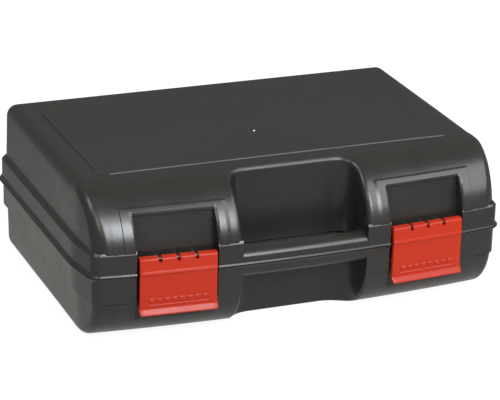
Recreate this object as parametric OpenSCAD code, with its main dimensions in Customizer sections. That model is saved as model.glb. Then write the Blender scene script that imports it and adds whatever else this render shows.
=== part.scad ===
// Moulded carrying case: a base and a lid hinged at the back, an opening for the hand
// with a handle made half by each shell, and two snap latches at the front.
// +X is the width, the front faces -Y and +Z is up. The origin is under the middle.

/* [Case] */
// Width over the parting lip
case_w = 370; // [350:1:400]
// Depth over the parting lip, at the middle of the front
case_d = 257; // [240:1:280]
// Height of the base, from the floor to the parting line
base_h = 62; // [60:1:70]
// Height of the lid, from the parting line to its raised panel
lid_h = 68; // [66:1:76]
// How far the front bows out between its corners
front_bow = 10.8; // [6:0.2:14]
// Corner radius of the lip, seen from above
lip_corner_r = 20; // [16:1:30]
// Wall thickness of both shells
wall = 2.8; // [2:0.1:3.2]
// Inward lean of the side and rear walls, in degrees
draft = 1; // [0.5:0.25:2]

/* [Rim] */
// Height of the wide rim band on the lid
lid_band_h = 19; // [15:1:21]
// Height of the wide rim band on the base
base_band_h = 24; // [16:1:28]
// Height of the tongue that rises from the base inside the lid
tongue_h = 4; // [2:0.5:6]
// Gap between the tongue and the rim around it
tongue_gap = 0.4; // [0.3:0.1:0.8]

/* [Form] */
// Radius of the lid from its front to its top
lid_front_r = 55; // [45:1:56]
// Radius of the base from its front to its bottom
base_front_r = 46; // [35:1:50]
// Radius of the other edges round the top and the bottom
edge_r = 12; // [8:1:14]
// Height of the raised panel on the top
panel_h = 0.8; // [0.4:0.1:1.2]
// Width of the raised panel on the top
panel_w = 313; // [290:1:320]

/* [Hand opening] */
// Width of the opening for the hand
opening_w = 111; // [95:1:115]
// Depth of the opening, from the parting lip to its rear wall
opening_d = 44; // [40:1:52]
// Corner radius of the opening, seen from above
opening_r = 14; // [8:1:18]
// Depth of the handle, front to back
handle_d = 19.5; // [16:0.5:24]
// Height of the half of the handle on the lid
handle_up = 12; // [9:0.5:15]
// Height of the half of the handle on the base
handle_down = 13.5; // [9:0.5:16]
// Radius along the edges of the handle
handle_r = 5; // [3:0.5:7]

/* [Latches] */
// Distance of each latch from the middle
latch_x = 108.5; // [98:0.5:118]
// Width of a latch
latch_w = 63.4; // [54:0.2:66]
// Height of the latch pivot above the parting line
pivot_up = 12.3; // [11:0.1:14]
// Radius of the roll round the latch pivot
roll_r = 4; // [3.6:0.1:4.4]
// Thickness of the latch plate
plate_t = 2.9; // [2.4:0.1:3.2]
// Length of the latch, from its pivot to the bottom of its finger lip
latch_len = 46.2; // [44:0.2:48]
// Diameter of the latch pin
latch_pin_d = 2.4; // [2:0.1:2.8]
// Width of the slots for the lid's lugs
slot_w = 4; // [3.4:0.1:5]
// Distance between the slots
slot_pitch = 15; // [12:0.5:18]

/* [Rear hinges] */
// Distance of each hinge from the middle
hinge_x = 108; // [80:1:130]
// Outer radius of the hinge knuckles
knuckle_r = 4.2; // [4:0.1:4.6]
// Length of the base's knuckle
base_knuckle_l = 22; // [14:1:30]
// Length of each of the lid's knuckles
lid_knuckle_l = 10; // [8:1:14]
// Diameter of the hinge pin
hinge_pin_d = 3; // [2.4:0.1:3.4]

/* [Hidden] */
$fn = 64;

SHELL = "#3c3b38";
RED = "#c83728";
STEEL = "#b9bcc0";

// Running and seated clearances, each on the radius or on one side.
run_gap = 0.06;
seat_gap = 0.02;
side_gap = 0.4;
eps = 0.01;
crest = 0.05;
over = 40;
cut_over = 3;

// Insets from the parting lip: the rim bands and the walls behind them.
lid_band_in = 3;
base_band_in = 3.6;
wall_in = 6.3;
front_band_in = 1.8;
front_wall_in = 3;
rear_band_step = 0.6;
rear_wall_in = 3.8;
lip_t = 1;
lip_root_in = 1.5;
lip_root_front_in = 1.05;
lip_root_t = 2.4;
tongue_t = 2.2;
tongue_root_t = 1.4;

// The latch in its own frame: its finger lip, hook and the base's rail, from the lip of the case.
pivot_in = 3.2;
flare_out = 7.4;
flare_w = latch_w + 1.4;
hook_drop = 25.7;
hook_t = 2.5;
hook_in = 4.3;
rail_in = 4.6;
rail_gap = 0.4;
rail_t = 4;
rail_w = 52;
pocket_w = latch_w + 3.6;
pocket_foot_in = 8.4;
pocket_head_in = 14.8;
pocket_h = 46;
recess_in = 8;
recess_h = 38;
lug_w = 3;
lug_r = 2.5;
lug_drop = 2.2;
lug_reach = 8.6;
slot_drop = 3;
frame_rise = 0.6;
frame_w = 8;
frame_d = 16;
frame_top = 4;
ridge_out = 0.9;
ridge_top = 10.4;
ridge_bottom = 11.6;
ridge_foot = 13;
plate_in = 0.2;
plate_tail = 5;
roll_foot = 3.44;
flare_top = 6;
flare_t = 1.6;

// Plain raised ribs and the line under them, on the outside of the latch.
ribs = 11;
rib_pitch = 4.6;
rib_w = 1.4;
rib_h = 5;
rib_rise = 0.6;
rib_up = 12;
line_w = 50;
line_h = 0.8;
line_up = 7.6;

// The rear hinges: arm size, middle of the lid's knuckles and length over all three.
arm_in = 7;
arm_t = 3.6;
lid_knuckle_x = (base_knuckle_l + lid_knuckle_l) / 2 + side_gap;
hinge_l = base_knuckle_l + 2 * lid_knuckle_l + 2 * side_gap;
pin_short = 1;

// Placement from front to back, so that the whole case is centred on the origin.
lip_half = case_w / 2;
bow_r = (lip_half * lip_half + front_bow * front_bow) / (2 * front_bow);
bow_spare = 1.2;
bow_angle = 2 * atan(bow_spare * lip_half / (bow_r - case_d));
bow_fn = 720;
latch_tilt = asin(latch_x / bow_r);
latch_back = bow_r - sqrt(bow_r * bow_r - latch_x * latch_x);
front_reach = (flare_w / 2) * sin(latch_tilt) + (flare_out - pivot_in) * cos(latch_tilt) - latch_back;
hinge_out = 0.9;
rear_reach = hinge_out + knuckle_r;
front_y = front_reach - (case_d + front_reach + rear_reach) / 2;
back_y = front_y + case_d;
hinge_y = back_y + hinge_out;
bow_y = front_y + bow_r;

panel_in = 61;
panel_rear_in = 34;
panel_front = front_y + panel_in;
panel_back = back_y - panel_rear_in;
panel_corner_r = 11;
gate_in = 118;
gate_y = front_y + gate_in;
gate_r = 4.6;
gate_line = 0.6;
gate_deep = 0.3;

// Outline of the case from above, inset from the parting lip at its sides, front and rear.
module plan(side, front, rear) {
    r = lip_corner_r - side;
    half = lip_half - side;
    bow = bow_r - front;
    corner_x = half - r;
    corner_y = bow_y - sqrt((bow - r) * (bow - r) - corner_x * corner_x);
    rear_y = back_y - rear;
    spread = corner_x / (bow_y - corner_y);
    for (s = [-1, 1]) {
        translate([s * corner_x, corner_y]) circle(r);
        translate([s * corner_x, rear_y - r]) circle(r);
    }
    translate([-half, corner_y]) square([2 * half, rear_y - r - corner_y]);
    translate([-corner_x, 0]) square([2 * corner_x, rear_y]);
    intersection() {
        translate([0, bow_y]) circle(bow, $fn = bow_fn);
        polygon([[-spread * bow_y, eps], [spread * bow_y, eps],
                 [spread * 2 * bow_y, -bow_y], [-spread * 2 * bow_y, -bow_y]]);
    }
}

// Section with leaning sides and round upper corners, of half width w at the parting plane.
module rounded_section(w, h, r) {
    cx = w - (h - r) * tan(draft) - r / cos(draft);
    cy = h - r;
    foot = w + cut_over * tan(draft);
    polygon([[-foot, -cut_over], [foot, -cut_over], [cx + r * cos(draft), cy + r * sin(draft)], [cx, h],
             [-cx, h], [-cx - r * cos(draft), cy + r * sin(draft)]]);
    for (s = [-1, 1]) translate([s * cx, cy]) circle(r);
}

// Turns a profile round the far axis of the bow, over the width of the case only.
module bow_turn() {
    translate([0, bow_y, 0]) rotate([0, 0, -90 - bow_angle / 2])
        rotate_extrude(angle = bow_angle, $fn = bow_fn) children();
}

// Disc of the bow's own radius, with the big front radius round its upper edge.
module bowed_front(h, r, inset) {
    rc = bow_r - front_wall_in - r;
    bow_turn() intersection() {
        union() {
            translate([rc, h - r]) circle(r - inset);
            translate([0, -r]) square([rc, h - inset + r]);
            translate([0, -r]) square([rc + r - inset, h]);
        }
        translate([0, -cut_over]) square([bow_r, 2 * h]);
    }
}

// One half of the case as a solid, standing on the parting plane, with all its faces inset.
module half_body(h, front_r, inset) {
    side = wall_in + inset;
    rear = rear_wall_in + inset;
    intersection() {
        intersection() {
            linear_extrude(h + over) plan(side, front_wall_in + inset, rear);
            translate([0, over + back_y, 0]) rotate([90, 0, 0]) linear_extrude(case_d + 2 * over)
                rounded_section(lip_half - side - crest, h - inset, edge_r - inset);
        }
        intersection() {
            bowed_front(h + crest, front_r, inset);
            translate([-case_w, back_y - rear - case_w, 0]) rotate([90, 0, 90]) linear_extrude(2 * case_w)
                rounded_section(case_w - crest, h - inset, edge_r - inset);
        }
    }
}

// The rim band and the lip along the parting plane.
module rim(h, side) {
    front = front_band_in + side - lid_band_in;
    linear_extrude(h) plan(side, front, front + rear_band_step);
    linear_extrude(lip_root_t) plan(lip_root_in, lip_root_front_in, lip_root_in);
    linear_extrude(lip_t) plan(0, 0, 0);
}

// The hollow inside one half, open at the parting plane.
module hollow(h, front_r, band_h, side) {
    front = front_band_in + side - lid_band_in + wall;
    translate([0, 0, -2 * eps]) half_body(h, front_r, wall);
    translate([0, 0, -cut_over]) linear_extrude(band_h - wall + cut_over)
        plan(side + wall, front, front + rear_band_step);
}

// The opening for the hand, cut through the front of both halves.
module hand_opening(grow) {
    w = opening_w / 2 + grow;
    rear = front_y + opening_d + grow;
    r = opening_r + grow;
    translate([0, 0, -over]) linear_extrude(base_h + lid_h + 2 * over) {
        translate([-w, front_y - over]) square([2 * w, rear - r - front_y + over]);
        translate([-w + r, front_y]) square([2 * w - 2 * r, rear - front_y]);
        for (s = [-1, 1]) translate([s * (w - r), rear - r]) circle(r);
    }
}

// Half of the handle, standing on the parting plane and following the bow, with its sides inset.
module handle_half(h, inset, reach) {
    outer = bow_r - front_band_in - inset;
    inner = bow_r - front_band_in - handle_d + inset;
    r = handle_r - inset;
    intersection() {
        bow_turn() {
            translate([inner, -inset]) square([outer - inner, h - r]);
            translate([inner + r, -inset]) square([outer - inner - 2 * r, h]);
            for (x = [inner + r, outer - r]) translate([x, h - inset - r]) circle(r);
        }
        translate([-reach, front_y - over, -over]) cube([2 * reach, 2 * over, 2 * over]);
    }
}

// Puts its children at a latch: the origin goes to the lip of the case, at the middle of the latch.
module at_latch(s) {
    translate([s * latch_x, front_y + latch_back, base_h]) rotate([0, 0, s * latch_tilt]) children();
}

// A bar along X from its section in Y and Z.
module bar(w) {
    translate([-w / 2, 0, 0]) rotate([90, 0, 90]) linear_extrude(w) children();
}

// Pocket in the front of the lid that holds the upper part of a latch.
module lid_pocket(grow) {
    bar(pocket_w + 2 * grow) polygon([[-over, -cut_over], [pocket_foot_in + grow, -cut_over],
                                      [pocket_head_in + grow, pocket_h + grow], [-over, pocket_h + grow]]);
}

// Recess in the front of the base behind the lower part of a latch.
module base_recess(grow) {
    bar(pocket_w + 2 * grow) translate([-over, -recess_h - grow])
        square([over + recess_in + grow, recess_h + grow + cut_over]);
}

// Slightly proud border round a latch pocket, following the front of the lid.
module pocket_frame() {
    intersection() {
        translate([0, 0, base_h]) bowed_front(lid_h - panel_h + frame_rise, lid_front_r, 0);
        for (s = [-1, 1]) at_latch(s)
            bar(pocket_w + 2 * frame_w) translate([-frame_rise, lid_band_h - lip_t])
                square([frame_d, pocket_h + frame_top - lid_band_h + lip_t]);
    }
}

// Lug that carries the latch pin, in the latch frame.
module lug(x) {
    translate([x, 0, 0]) bar(lug_w) {
        translate([pivot_in, pivot_up]) circle(lug_r);
        translate([pivot_in, pivot_up - lug_drop]) square([lug_reach, 2 * lug_drop]);
    }
}

// A rod or a bore along X, centred on the origin.
module rod(d, l) {
    rotate([0, 90, 0]) cylinder(d = d, h = l, center = true);
}

// Puts its children at a hinge axis.
module at_hinge(s) {
    translate([s * hinge_x, hinge_y, base_h]) children();
}

module knuckle(x, l, side) {
    translate([x, 0, 0]) rod(2 * knuckle_r, l);
    translate([x - l / 2, -arm_in, side > 0 ? eps : -arm_t]) cube([l, arm_in, arm_t - eps]);
}

module base_shell() {
    color(SHELL) difference() {
        union() {
            difference() {
                translate([0, 0, base_h]) mirror([0, 0, 1]) {
                    half_body(base_h, base_front_r, 0);
                    rim(base_band_h, base_band_in);
                }
                hand_opening(0);
                for (s = [-1, 1]) at_latch(s) base_recess(0);
                difference() {
                    translate([0, 0, base_h]) mirror([0, 0, 1])
                        hollow(base_h, base_front_r, base_band_h, base_band_in);
                    hand_opening(wall);
                    for (s = [-1, 1]) at_latch(s) base_recess(wall);
                }
            }
            difference() {
                translate([0, 0, base_h]) mirror([0, 0, 1]) handle_half(handle_down, 0, opening_w / 2 + wall / 2);
                translate([0, 0, base_h]) mirror([0, 0, 1]) handle_half(handle_down, wall, opening_w / 2);
            }
            tongue();
            for (s = [-1, 1]) at_latch(s)
                bar(rail_w) translate([rail_in, pivot_up - hook_drop + rail_gap])
                    square([recess_in - rail_in + wall / 2, rail_t]);
            for (s = [-1, 1]) at_hinge(s) knuckle(0, base_knuckle_l, -1);
        }
        for (s = [-1, 1], k = [-1, 1]) at_hinge(s)
            translate([k * lid_knuckle_x, 0, 0]) rod(2 * (knuckle_r + side_gap), lid_knuckle_l + 2 * side_gap);
        for (s = [-1, 1]) at_hinge(s) rod(hinge_pin_d + 2 * seat_gap, hinge_l);
    }
}

// Ring along the rim, from one inset to another.
module ring(outer, inner, h) {
    linear_extrude(h) difference() {
        plan(outer, outer, outer);
        plan(inner, inner, inner);
    }
}

// Tongue round the sides and the rear of the base, which closes the rim against dust.
module tongue() {
    outer = lid_band_in + wall + tongue_gap;
    inner = outer + tongue_t;
    difference() {
        translate([0, 0, base_h - 2 * wall]) {
            ring(outer, inner, 2 * wall + tongue_h);
            ring(outer - tongue_root_t, inner, 2 * wall - tongue_gap);
        }
        translate([-case_w, front_y - over, 0]) cube([2 * case_w, over + front_bow + lip_corner_r, 4 * over]);
    }
}

module lid_shell() {
    color(SHELL) difference() {
        union() {
            difference() {
                union() {
                    translate([0, 0, base_h]) {
                        half_body(lid_h - panel_h, lid_front_r, 0);
                        rim(lid_band_h, lid_band_in);
                    }
                    pocket_frame();
                    panel();
                }
                hand_opening(0);
                for (s = [-1, 1]) at_latch(s) lid_pocket(0);
                difference() {
                    translate([0, 0, base_h]) hollow(lid_h - panel_h, lid_front_r, lid_band_h, lid_band_in);
                    hand_opening(wall);
                    for (s = [-1, 1]) at_latch(s) lid_pocket(wall);
                }
            }
            difference() {
                translate([0, 0, base_h]) handle_half(handle_up, 0, opening_w / 2 + wall / 2);
                translate([0, 0, base_h]) handle_half(handle_up, wall, opening_w / 2);
            }
            for (s = [-1, 1], k = [-1, 0, 1]) at_latch(s) lug(k * slot_pitch);
            for (s = [-1, 1], k = [-1, 1]) at_hinge(s) knuckle(k * lid_knuckle_x, lid_knuckle_l, 1);
        }
        for (s = [-1, 1]) at_latch(s)
            translate([0, pivot_in, pivot_up]) rod(latch_pin_d + 2 * seat_gap, pocket_w);
        for (s = [-1, 1]) at_hinge(s) {
            rod(2 * (knuckle_r + side_gap), base_knuckle_l + 2 * side_gap);
            rod(hinge_pin_d + 2 * run_gap, hinge_l);
        }
        translate([0, gate_y, base_h + lid_h - gate_deep]) linear_extrude(over) difference() {
            circle(gate_r);
            circle(gate_r - gate_line);
        }
    }
}

module panel() {
    x = panel_w / 2 - panel_corner_r;
    translate([0, 0, base_h + lid_h - 2 * panel_h]) linear_extrude(2 * panel_h) {
        for (s = [-1, 1], y = [panel_front + panel_corner_r, panel_back - panel_corner_r])
            translate([s * x, y]) circle(panel_corner_r);
        translate([-x, panel_front]) square([2 * x, panel_back - panel_front]);
        translate([-panel_w / 2, panel_front + panel_corner_r])
            square([panel_w, panel_back - panel_front - 2 * panel_corner_r]);
    }
}

// A latch in its own frame, with the pivot on the X axis and the outside facing -Y.
module latch() {
    plate_back = plate_in + plate_t - roll_r;
    color(RED) difference() {
        union() {
            bar(latch_w) {
                circle(roll_r);
                polygon([[-roll_r, 0], [-roll_r - ridge_out, -ridge_top], [-roll_r - ridge_out, -ridge_bottom],
                         [plate_in - roll_r, -ridge_foot], [plate_in - roll_r, plate_tail - latch_len],
                         [plate_back, plate_tail - latch_len], [plate_back, -ridge_bottom],
                         [roll_r / 2, -roll_foot], [0, 0]]);
                translate([plate_t - roll_r, -hook_drop - hook_t])
                    square([hook_in - pivot_in - plate_t + roll_r, hook_t]);
            }
            bar(flare_w) polygon([[plate_in - roll_r, flare_top - latch_len], [-flare_out, flare_t - latch_len],
                                  [-flare_out, -latch_len], [flare_t - flare_out, -latch_len],
                                  [plate_back, flare_top - latch_len]]);
            grip_ribs();
        }
        for (k = [-1, 0, 1])
            translate([k * slot_pitch - slot_w / 2, -over / 2, -slot_drop]) cube([slot_w, over, over]);
        rod(latch_pin_d + 2 * run_gap, 2 * latch_w);
    }
}

// Plain raised ribs above the finger lip.
module grip_ribs() {
    translate([0, rib_rise / 2 - roll_r, -latch_len]) {
        for (k = [0:ribs - 1])
            translate([(k - (ribs - 1) / 2) * rib_pitch, 0, rib_up])
                bar(rib_w) square([rib_rise, rib_h], center = true);
        translate([0, 0, line_up]) bar(line_w) square([rib_rise, line_h], center = true);
    }
}

module latch_place(s) {
    at_latch(s) translate([0, pivot_in, pivot_up]) children();
}

module latch_pin() {
    color(STEEL) rod(latch_pin_d, latch_w - pin_short);
}

module hinge_pin(s) {
    color(STEEL) at_hinge(s) rod(hinge_pin_d, hinge_l - pin_short);
}

base_shell();
lid_shell();
latch_place(-1) latch();  // left_latch
latch_place(1) latch();  // right_latch
latch_place(-1) latch_pin();  // left_latch_pin
latch_place(1) latch_pin();  // right_latch_pin
hinge_pin(-1);  // left_hinge_pin
hinge_pin(1);  // right_hinge_pin
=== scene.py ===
import bmesh
import bpy
import numpy as np
from mathutils import Matrix, Vector


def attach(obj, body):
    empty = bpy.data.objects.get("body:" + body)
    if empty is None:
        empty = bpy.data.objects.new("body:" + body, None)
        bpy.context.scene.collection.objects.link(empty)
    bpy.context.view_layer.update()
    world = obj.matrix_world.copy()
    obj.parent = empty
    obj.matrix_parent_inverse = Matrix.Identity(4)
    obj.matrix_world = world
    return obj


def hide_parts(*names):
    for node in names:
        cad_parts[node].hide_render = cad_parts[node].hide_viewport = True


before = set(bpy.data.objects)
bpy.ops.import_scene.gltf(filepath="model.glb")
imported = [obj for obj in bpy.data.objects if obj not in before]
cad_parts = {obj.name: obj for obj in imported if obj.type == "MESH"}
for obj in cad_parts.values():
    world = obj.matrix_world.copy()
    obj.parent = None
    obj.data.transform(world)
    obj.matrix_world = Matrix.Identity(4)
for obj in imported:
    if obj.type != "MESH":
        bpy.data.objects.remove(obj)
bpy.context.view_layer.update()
print("frame loaded:", sorted(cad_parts))

# Shapes are worked out in millimetres, and mm brings them to metres where a mesh is made.
mm = 0.001
case = {
    "frontY": -129.703, "backY": 127.297, "halfWidth": 185.0, "bowRadius": 1589.89, "partingZ": 62.0,
    "cornerRadius": 9.0, "rearCorner": 12.0,
    "taperY": -82.0, "taperBlend": 8.0, "taperX": 150.0, "taperRamp": 22.0,
    "lipTaper": 0.165, "wallTaper": 0.11,
    "notchHalf": 54.4, "notchDepth": 44.0,
    "latchX": 108.5, "latchTilt": np.radians(3.913), "latchBack": 3.7065,
    "pivotIn": 3.2, "pivotUp": 12.3, "hingeX": 108.0, "hingeOut": 0.9,
}


def gridFaces(rows, cols, closeCols=False):
    # quads of a grid stored row by row; closeCols joins the last column to the first
    r = np.arange(rows - 1)[:, None]
    c = np.arange(cols if closeCols else cols - 1)[None, :]
    n = (c + 1) % cols
    a, b = r * cols + c, r * cols + n
    return np.stack([a, b, b + cols, a + cols], -1).reshape(-1, 4)


def gridPart(points, closeCols=False):
    rows, cols = points.shape[:2]
    return points.reshape(-1, 3), gridFaces(rows, cols, closeCols).tolist()


def tubePart(points):
    # closed section (columns) carried along rows, with both ends capped by one face
    verts, faces = gridPart(points, closeCols=True)
    rows, cols = points.shape[:2]
    first, last = range(cols - 1, -1, -1), range((rows - 1) * cols, rows * cols)
    return verts, faces + [list(first), list(last)]


def joinParts(parts):
    verts, faces, base = [], [], 0
    for v, f in parts:
        verts.append(v)
        faces += [[base + i for i in face] for face in f]
        base += len(v)
    return np.concatenate(verts), faces


def meshFrom(name, parts, weld=0, outward=True, speck=1e-7):
    verts, faces = joinParts(parts)
    mesh = bpy.data.meshes.new(name)
    mesh.from_pydata((verts * mm).tolist(), [], faces)
    work = bmesh.new()
    work.from_mesh(mesh)
    if weld:
        bmesh.ops.remove_doubles(work, verts=work.verts, dist=weld * mm)
    bmesh.ops.dissolve_degenerate(work, dist=speck, edges=work.edges)
    if outward:
        bmesh.ops.recalc_face_normals(work, faces=work.faces)
    work.to_mesh(mesh)
    work.free()
    mesh.update()
    return mesh


def addObject(name, mesh, material=None):
    thing = bpy.data.objects.new(name, mesh)
    bpy.context.scene.collection.objects.link(thing)
    if material:
        mesh.materials.append(material)
    return thing


def finishShading(mesh, angle):
    mesh.shade_smooth()
    mesh.set_sharp_from_angle(angle=np.radians(angle))


def applied(thing):
    # the mesh with its modifiers applied; the helper object is removed
    bpy.context.view_layer.update()
    graph = bpy.context.evaluated_depsgraph_get()
    mesh = bpy.data.meshes.new_from_object(thing.evaluated_get(graph))
    bpy.data.objects.remove(thing)
    return mesh


def joined(name, meshes):
    work = bmesh.new()
    for m in meshes:
        work.from_mesh(m)
    mesh = bpy.data.meshes.new(name)
    work.to_mesh(mesh)
    work.free()
    return mesh


def arcPoints(radius, start, end, count):
    # arc about the origin: radius times the cosine and the sine of each angle
    a = np.radians(np.linspace(start, end, count))
    return radius * np.stack([np.cos(a), np.sin(a)], -1)


def polyline(*pieces):
    return np.concatenate([np.atleast_2d(np.asarray(p, float)) for p in pieces])


def spaced(*runs, closest=0.04):
    # sorted positions from runs of (start, end, step), without near repeats
    positions = np.unique(np.concatenate(
        [np.linspace(a, b, max(2, int(round(abs(b - a) / step)) + 1)) for a, b, step in runs]))
    return positions[np.concatenate([[True], np.diff(positions) > closest])]


def ramp(x):
    # smooth step from 0 to 1: three times the square less twice the cube
    x = np.clip(x, 0, 1)
    return x * x * (3 - 2 * x)


def bowLine(x):
    # front lip seen from above: an arc of bowRadius round a centre far behind the case
    return case["frontY"] + case["bowRadius"] - np.sqrt(case["bowRadius"] ** 2 - x ** 2)


def taper(x, y, slope):
    # how far the sides draw in towards the front: nothing behind taperY, a parabola over the
    # blend and then an even slope, all of it faded in from the middle of the case to its sides
    d, soft = case["taperY"] - y, case["taperBlend"]
    depth = np.where(d > soft, d, np.where(d > -soft, (d + soft) ** 2 / (4 * soft), 0))
    return np.sign(x) * slope * depth * ramp((np.abs(x) - case["taperX"]) / case["taperRamp"])


lidShape = {
    "up": 1, "height": 67.2, "frontRadius": 57.0, "frontIn": 0.8, "ledge": 19.0, "wall": 2.6,
    "rearRadius": 10.2, "rearIn": 4.0, "rearDraft": 0.02, "sideIn": 6.4, "draft": 0.022,
    "sideRadius": [13.0, 8.0, 7.5, 12.0, 11.0, 9.4, 10.0],
    "notchRoll": 4.5, "notchCorner": 14.0, "patchEnd": -4.0, "panel": 0.8,
    "band": {"side": 2.7, "front": 0.9, "rear": 2.2},
    "bandWall": {"side": 6.3, "front": 1.9, "rear": 4.0},
    "ledgeSlope": 1.0, "flare": 1.05, "handleTop": 12.0,
}
baseShape = {
    "up": -1, "height": 62.0, "frontRadius": 44.5, "frontIn": 2.0, "ledge": 24.0, "wall": 2.6,
    "rearRadius": 10.2, "rearIn": 4.6, "rearDraft": 0.02, "sideIn": 6.8, "draft": 0.026,
    "sideRadius": [7.6, 6.8, 6.5, 7.0, 7.6, 7.4, 9.5],
    "notchRoll": 2.2, "notchCorner": 22.0, "patchEnd": 8.0, "panel": 0.0,
    "band": {"side": 3.7, "front": 2.0, "rear": 2.6},
    "bandWall": {"side": 7.2, "front": 3.05, "rear": 4.6},
    "ledgeSlope": 0.9, "flare": 0.9, "handleTop": 13.2,
}
shellShape = {"weld": 0.02, "sharpAngle": 28}
pocketShape = {"half": 33.5, "foot": 33.1, "top": 46.0, "floor": 8.6, "lean": 0.17, "edge": 0.5,
               "bevel": 1.8, "bevelDepth": 1.1, "frameHalf": 43.5, "frameTop": 51.5, "frameStep": 0.6,
               "leastSlope": 0.3}
recessShape = {"half": 33.5, "floor": 8.0, "top": 38.4, "bevel": 0.4, "edge": 0.5}
panelShape = {"half": 156.5, "frontY": -70.6, "rear": 34.0, "corner": 9.5, "edge": 0.55}
gateShape = {"x": -0.4, "y": -11.5, "dish": 4.0, "depth": 0.3, "edge": 0.7,
             "nubRadius": [0.3, 0.7, 0.9, 0.95], "nubHeight": [-0.01, -0.06, -0.2, -0.7], "nubSides": 16}


def lengths(s):
    # runs of the section in mm along the middle of the half, and the angle where its front arc starts
    radius, rear = s["frontRadius"], s["rearRadius"]
    start = np.arcsin((s["ledge"] - (s["height"] - radius)) / radius)
    crown = (case["backY"] - s["rearIn"] - rear) - (case["frontY"] + s["frontIn"] + radius)
    return {"start": start, "arc": radius * (np.pi / 2 - start), "crown": crown,
            "fillet": rear * np.pi / 2, "wall": s["height"] - rear - s["ledge"]}


def profile(s, x, v):
    # y, height and direction of the normal at v mm along the section. The front arc turns about a
    # centre behind the bowed lip: y is the centre less radius times cosine, and the height is the
    # top less radius times (1 - sine). The crown is level, the rear fillet is a quarter circle, and
    # the rear wall goes down and leans out by its draft.
    run = lengths(s)
    arc, crown, fillet, wall = run["arc"], run["crown"], run["fillet"], run["wall"]
    onArc, onCrown = np.clip(v / arc, 0, 1), np.clip((v - arc) / crown, 0, 1)
    onFillet = np.clip((v - arc - crown) / fillet, 0, 1)
    onWall = np.clip((v - arc - crown - fillet) / wall, 0, 1)
    theta = run["start"] + onArc * (np.pi / 2 - run["start"])
    turn = onFillet * np.pi / 2
    centreY = bowLine(x) + s["frontIn"] + s["frontRadius"]
    rearY = case["backY"] - s["rearIn"] - s["rearRadius"]
    y = centreY - s["frontRadius"] * np.cos(theta) + onCrown * (rearY - centreY)
    h = s["height"] - s["frontRadius"] * (1 - np.sin(theta))
    y = y + s["rearRadius"] * np.sin(turn) + onWall * wall * s["rearDraft"]
    h = h - s["rearRadius"] * (1 - np.cos(turn)) - onWall * wall
    return y, h, theta + turn


def frontFeature(s, x, h, inset):
    # inset of the front behind the lip. On the lid a frame is raised by its step, then the bevel
    # sinks evenly to the pocket, whose floor leans by lean times the height. On the base the front
    # is pushed back to the recess's floor.
    dx = np.abs(np.abs(x) - case["latchX"])
    if s["up"] > 0:
        p = pocketShape
        framed = np.minimum((p["frameHalf"] - dx) / p["edge"], (p["frameTop"] - h) / p["edge"])
        slope = (s["frontRadius"] + s["frontIn"] - inset) / s["frontRadius"]
        slope = np.clip(slope, p["leastSlope"], 1)
        inset = inset - ramp(framed) * p["frameStep"] / slope
        bevel = np.minimum(p["half"] + p["bevel"] - dx, p["top"] + p["bevel"] - h) / p["bevel"]
        inset = inset + p["bevelDepth"] * np.clip(bevel, 0, 1)
        side = np.clip((p["half"] - dx) / (p["half"] - p["foot"]), 0, 1)
        over = np.clip((p["top"] - h) / p["edge"], 0, 1)
        return inset + (p["floor"] + p["lean"] * h - inset) * np.minimum(side, over)
    p = recessShape
    side = np.clip((p["half"] - dx) / p["edge"], 0, 1)
    return inset + (np.maximum(inset, p["floor"]) - inset) * side


def panelRise(x, y, s):
    # raised panel: its height over a rectangle with cut corners, less the round dish of the gate
    p, g, diagonal = panelShape, gateShape, 0.7071
    qx = np.abs(x) - p["half"]
    qy = np.maximum(p["frontY"] - y, y - (case["backY"] - p["rear"]))
    outside = np.maximum(np.maximum(qx, qy), (qx + qy + p["corner"]) * diagonal)
    fromGate = np.hypot(x - g["x"], y - g["y"])
    dish = g["depth"] * (1 - ramp((fromGate - g["dish"]) / g["edge"]))
    return s["panel"] * ramp(-outside / p["edge"]) - (dish if s["panel"] else 0)


# The grid of the skin: steps between its lines, and offsets of extra lines at each edge in it.
skinGrid = {
    "arcStep": 2.0, "crownStep": 7.0, "filletStep": 1.4, "wallStep": 6.0, "colStep": 4.0,
    "borderX": 160.0, "patchX": 66.0, "closest": 0.2, "slack": 1e-6, "decimals": 4,
    "pocketTop": [-0.8, -0.5, 0.0], "pocketFoot": [-0.4, 0.0], "recess": [-0.9, -0.5, 0.0, 0.4],
    "frame": [-1.0, -0.5, -0.25, 0.0, 0.4], "panel": [0.4, 0.0, -0.28, -0.55, -1.0],
    "cornerRun": 11.0, "cornerCols": (146, 156), "cornerStep": 0.7, "gateRun": 6.0, "gateStep": 0.5,
    "stripCols": 5, "filletCols": 13, "wallCols": 14, "radiusAt": (0.5, 0.78, 0.25),
    "patchRows": 7, "rollRows": 9, "skirtRows": 6, "skirtMargin": 0.1,
    "notchSteps": 16, "notchLeg": 6.0, "foot": 0.35, "footShares": (0.3, 0.6, 0.85, 1.0),
    "bowFade": (0.55, 0.35), "panelStart": 12.0, "panelTurn": 0.2,
}


def straightened(s, x, v):
    # v moved so that the rows on the crown run straight across instead of following the bow: the
    # row keeps the y that it has in the middle, and the move fades in over the end of the arc
    run, radius = lengths(s), s["frontRadius"]
    arc, crown = run["arc"], run["crown"]
    centre = bowLine(x) + s["frontIn"] + radius
    centreMid = case["frontY"] + s["frontIn"] + radius
    target = np.where(v > arc, centreMid + v - arc,
                      centreMid - radius * np.sin((arc - np.minimum(v, arc)) / radius))
    onArc = arc - radius * np.arcsin(np.clip((centre - target) / radius, 0, 1))
    onCrown = arc + crown * (target - centre) / (centreMid + crown - centre)
    there = np.where(target > centre, onCrown, onArc)
    fadeFrom, fadeOver = skinGrid["bowFade"]
    share = np.where(v < arc + crown, ramp((v - fadeFrom * arc) / (fadeOver * arc)), 0)
    return v + (there - v) * share


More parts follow.
